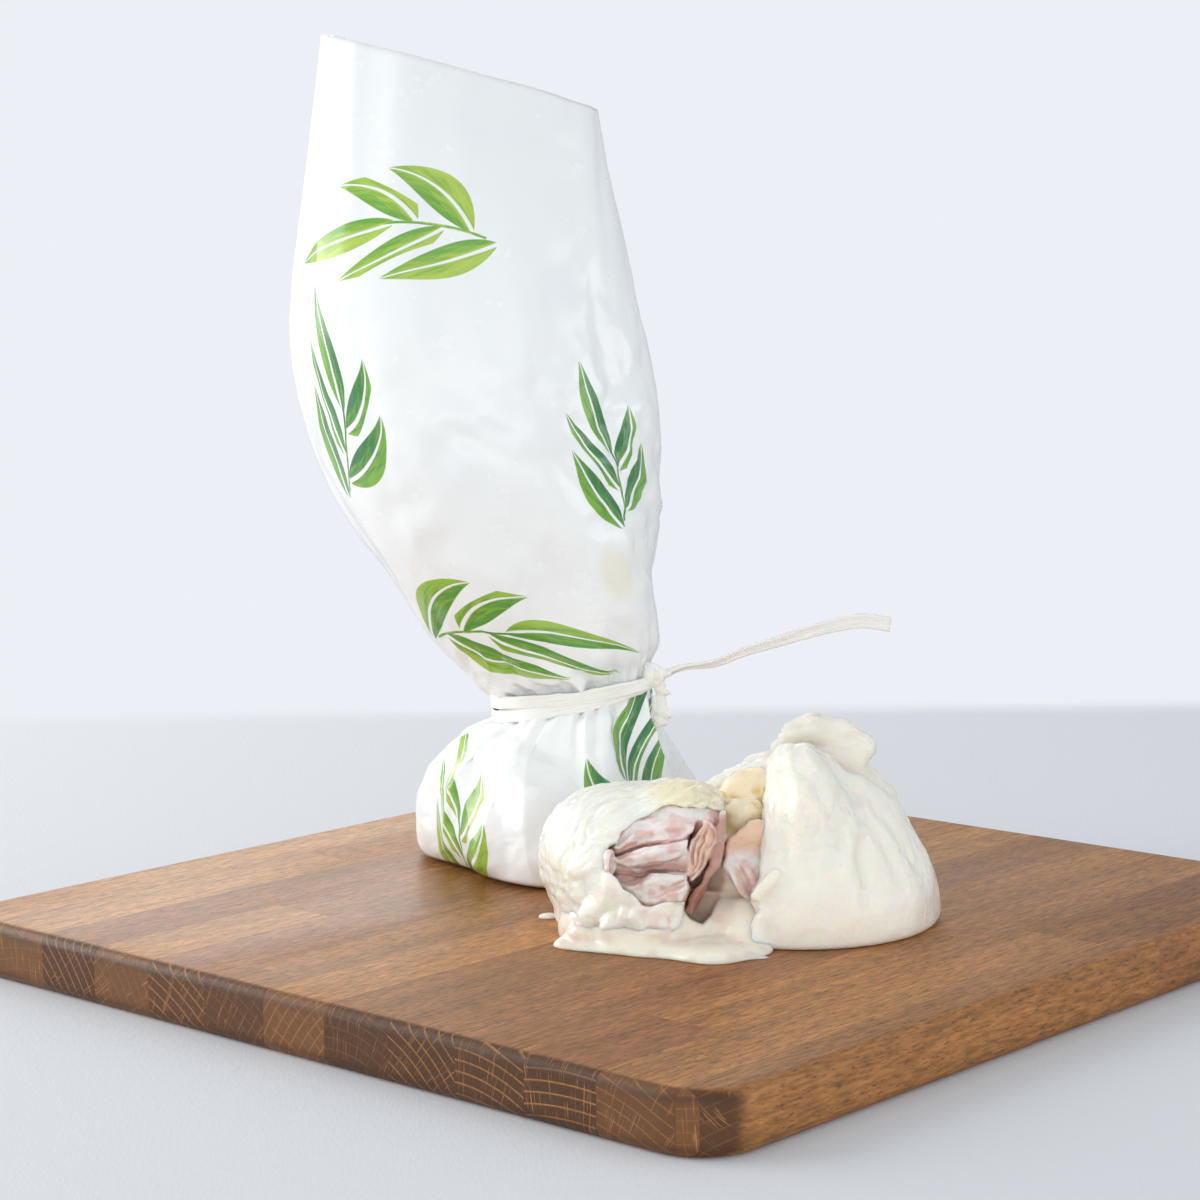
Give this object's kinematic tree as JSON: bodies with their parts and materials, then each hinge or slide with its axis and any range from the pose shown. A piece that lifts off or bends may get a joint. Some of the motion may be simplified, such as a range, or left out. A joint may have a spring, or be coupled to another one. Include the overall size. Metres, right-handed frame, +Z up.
{
  "type": "burrata on a board",
  "caption": "Burrata on a square wooden board: one still tied in its printed film wrapper, one torn open to show ham in cream.",
  "frame": {"origin": "centre of the board's underside", "axes": "+Z up; X and Y along the board's sides; the corner at +X -Y is the near one, which the opened burrata and the wrapper's printed front face"},
  "size_m": [0.3, 0.3, 0.2788],
  "materials": {
    "board": "oiled beech staves, satin top, darker oiled end grain",
    "wrapper": null,
    "tie": "flat ivory raffia, faintly ribbed along its length",
    "skin": "moist stretched curd, ivory, wet sheen, fibrous folds",
    "cream": "glossy thick cream, warm ivory, yellower in the deep tear",
    "ham": "pale pink folded slices smeared with cream"
  },
  "bodies": {
    "root": {"board": "board", "wrapper": "wrapper", "tie_band": "tie", "tie_tail": "tie", "burrata_skin": "skin", "cream": "cream", "ham_bundle": "ham", "ham_tongue": "ham"}
  },
  "joints": []
}
